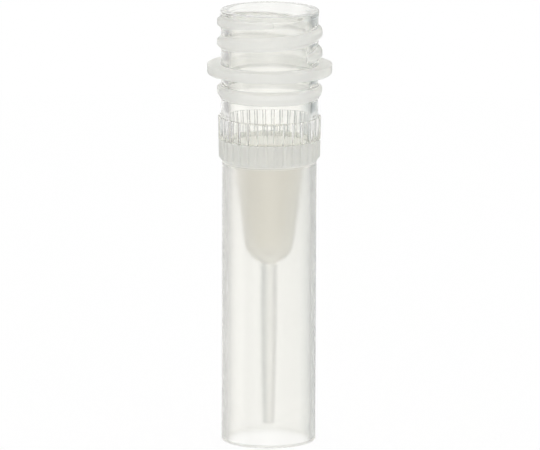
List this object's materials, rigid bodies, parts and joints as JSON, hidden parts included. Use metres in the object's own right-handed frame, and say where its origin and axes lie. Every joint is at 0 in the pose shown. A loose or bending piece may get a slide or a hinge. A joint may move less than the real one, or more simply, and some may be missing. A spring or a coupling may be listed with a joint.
{
  "type": "cryovial",
  "caption": "Self-standing screw-cap cryogenic vial without its cap: threaded neck, flange, bead, ribbed grip band, and a small conical vessel inside an open skirt.",
  "frame": {"origin": "on the tube's axis, in the plane of the foot that the tube stands on", "axes": "+Z along the axis, from the foot to the mouth; the thread's lower end lies 42 degrees clockwise of +X, seen from above"},
  "size_m": [0.0128, 0.0128, 0.045],
  "materials": {
    "polypropylene": "natural translucent polypropylene: clear thin walls in the neck, milky where it is thick, satin on the skirt"
  },
  "bodies": {
    "root": {"tube": "polypropylene"}
  },
  "joints": []
}
